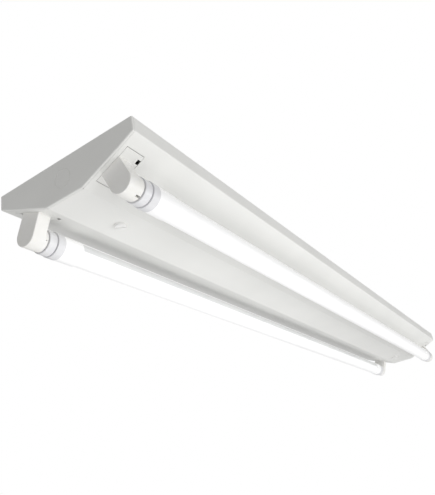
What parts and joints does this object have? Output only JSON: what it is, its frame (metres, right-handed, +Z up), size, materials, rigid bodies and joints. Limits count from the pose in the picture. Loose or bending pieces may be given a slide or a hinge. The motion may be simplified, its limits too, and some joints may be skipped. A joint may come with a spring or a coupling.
{
  "type": "shop light",
  "caption": "Hanging strip shop light with a shallow wedge-shaped white steel body, end plates, turning lampholders and round lit tubes along both slopes.",
  "frame": {"origin": "middle of the flat top face, which lies against the ceiling or hangs under it", "axes": "+X along the light, +Y across it, +Z up out of the flat top"},
  "size_m": [1.26, 0.194, 0.0748],
  "materials": {
    "white_enamel": "white baked enamel, semi-gloss",
    "zinc_steel": "bright zinc plate",
    "holder_plastic": "moulded white, satin",
    "brass": "drawn brass, bare",
    "cap_plastic": "moulded cool white, satin",
    "diffuser": "frosted white polycarbonate, lit",
    "heat_sink": "extruded, white-painted satin",
    "circuit_board": "white solder mask",
    "led": "phosphor yellow",
    "driver": "coated board",
    "knob_plastic": "moulded white",
    "block_plastic": "moulded off-white",
    "black_wire": "extruded insulation",
    "white_wire": "extruded insulation",
    "green_wire": "extruded insulation",
    "green_screw": "green passivated steel"
  },
  "bodies": {
    "fixture": {"reflector_cover": "white_enamel", "back_plate": "white_enamel", "end_plate_near": "white_enamel", "end_plate_far": "white_enamel", "cover_bracket_near": "zinc_steel", "cover_bracket_far": "zinc_steel", "rivets": "zinc_steel", "terminal_block": "block_plastic", "terminal_screws": "zinc_steel", "live_wires": "black_wire", "neutral_wires": "white_wire", "ground_wire": "green_wire", "ground_screw": "green_screw", "lampholder_1_near": "holder_plastic", "contacts_1_near": "brass", "lampholder_1_far": "holder_plastic", "contacts_1_far": "brass", "lampholder_2_near": "holder_plastic", "contacts_2_near": "brass", "lampholder_2_far": "holder_plastic", "contacts_2_far": "brass"},
    "lamp_1_caps_near": {"pin_cap_1_near": "cap_plastic", "pins_1_near": "brass"},
    "lamp_1_caps_far": {"pin_cap_1_far": "cap_plastic", "pins_1_far": "brass"},
    "lamp_1_tube": {"tube_diffuser_1": "diffuser", "heat_sink_1": "heat_sink", "led_board_1": "circuit_board", "leds_1": "led", "tube_driver_1": "driver", "end_collar_1_near": "cap_plastic", "end_collar_1_far": "cap_plastic"},
    "rotor_1_near": {"rotor_1_near": "holder_plastic"},
    "rotor_1_far": {"rotor_1_far": "holder_plastic"},
    "lamp_2_caps_near": {"pin_cap_2_near": "cap_plastic", "pins_2_near": "brass"},
    "lamp_2_caps_far": {"pin_cap_2_far": "cap_plastic", "pins_2_far": "brass"},
    "lamp_2_tube": {"tube_diffuser_2": "diffuser", "heat_sink_2": "heat_sink", "led_board_2": "circuit_board", "leds_2": "led", "tube_driver_2": "driver", "end_collar_2_near": "cap_plastic", "end_collar_2_far": "cap_plastic"},
    "rotor_2_near": {"rotor_2_near": "holder_plastic"},
    "rotor_2_far": {"rotor_2_far": "holder_plastic"},
    "cover_knob_near": {"cover_knob_near": "knob_plastic"},
    "cover_knob_far": {"cover_knob_far": "knob_plastic"}
  },
  "joints": [
    {"name": "lamp_1_turn", "type": "hinge", "parent": "fixture", "child": "lamp_1_caps_near", "pos_m": [-0.6008, 0.06766, -0.0595], "axis": [1, 0, 0], "range_deg": [0, 90]},
    {"name": "lamp_1_far_caps_turn", "type": "hinge", "parent": "fixture", "child": "lamp_1_caps_far", "pos_m": [0.6008, 0.06766, -0.0595], "axis": [1, 0, 0], "range_deg": [-5, 95]},
    {"name": "rotor_1_near_turn", "type": "hinge", "parent": "fixture", "child": "rotor_1_near", "pos_m": [-0.6008, 0.06766, -0.0595], "axis": [1, 0, 0], "range_deg": [-5, 95]},
    {"name": "rotor_1_far_turn", "type": "hinge", "parent": "fixture", "child": "rotor_1_far", "pos_m": [0.6008, 0.06766, -0.0595], "axis": [1, 0, 0], "range_deg": [-5, 95]},
    {"name": "lamp_1_aim", "type": "hinge", "parent": "lamp_1_caps_near", "child": "lamp_1_tube", "pos_m": [0, 0.06766, -0.0595], "axis": [1, 0, 0], "range_deg": [-90, 90]},
    {"name": "lamp_2_turn", "type": "hinge", "parent": "fixture", "child": "lamp_2_caps_near", "pos_m": [-0.6008, -0.06766, -0.0595], "axis": [1, 0, 0], "range_deg": [0, 90]},
    {"name": "lamp_2_far_caps_turn", "type": "hinge", "parent": "fixture", "child": "lamp_2_caps_far", "pos_m": [0.6008, -0.06766, -0.0595], "axis": [1, 0, 0], "range_deg": [-5, 95]},
    {"name": "rotor_2_near_turn", "type": "hinge", "parent": "fixture", "child": "rotor_2_near", "pos_m": [-0.6008, -0.06766, -0.0595], "axis": [1, 0, 0], "range_deg": [-5, 95]},
    {"name": "rotor_2_far_turn", "type": "hinge", "parent": "fixture", "child": "rotor_2_far", "pos_m": [0.6008, -0.06766, -0.0595], "axis": [1, 0, 0], "range_deg": [-5, 95]},
    {"name": "lamp_2_aim", "type": "hinge", "parent": "lamp_2_caps_near", "child": "lamp_2_tube", "pos_m": [0, -0.06766, -0.0595], "axis": [1, 0, 0], "range_deg": [-90, 90]},
    {"name": "cover_knob_near_turn", "type": "hinge", "parent": "fixture", "child": "cover_knob_near", "pos_m": [-0.5455, 0, -0.04902], "axis": [0, 0, -1], "range_deg": [0, 90]},
    {"name": "cover_knob_far_turn", "type": "hinge", "parent": "fixture", "child": "cover_knob_far", "pos_m": [0.5455, 0, -0.04902], "axis": [0, 0, -1], "range_deg": [0, 90]}
  ],
  "couplings": [
    {"joint": "rotor_1_near_turn", "follows": "lamp_1_turn", "ratio": 1},
    {"joint": "rotor_1_far_turn", "follows": "lamp_1_turn", "ratio": 1},
    {"joint": "lamp_1_far_caps_turn", "follows": "lamp_1_turn", "ratio": 1},
    {"joint": "rotor_2_near_turn", "follows": "lamp_2_turn", "ratio": 1},
    {"joint": "rotor_2_far_turn", "follows": "lamp_2_turn", "ratio": 1},
    {"joint": "lamp_2_far_caps_turn", "follows": "lamp_2_turn", "ratio": 1}
  ]
}
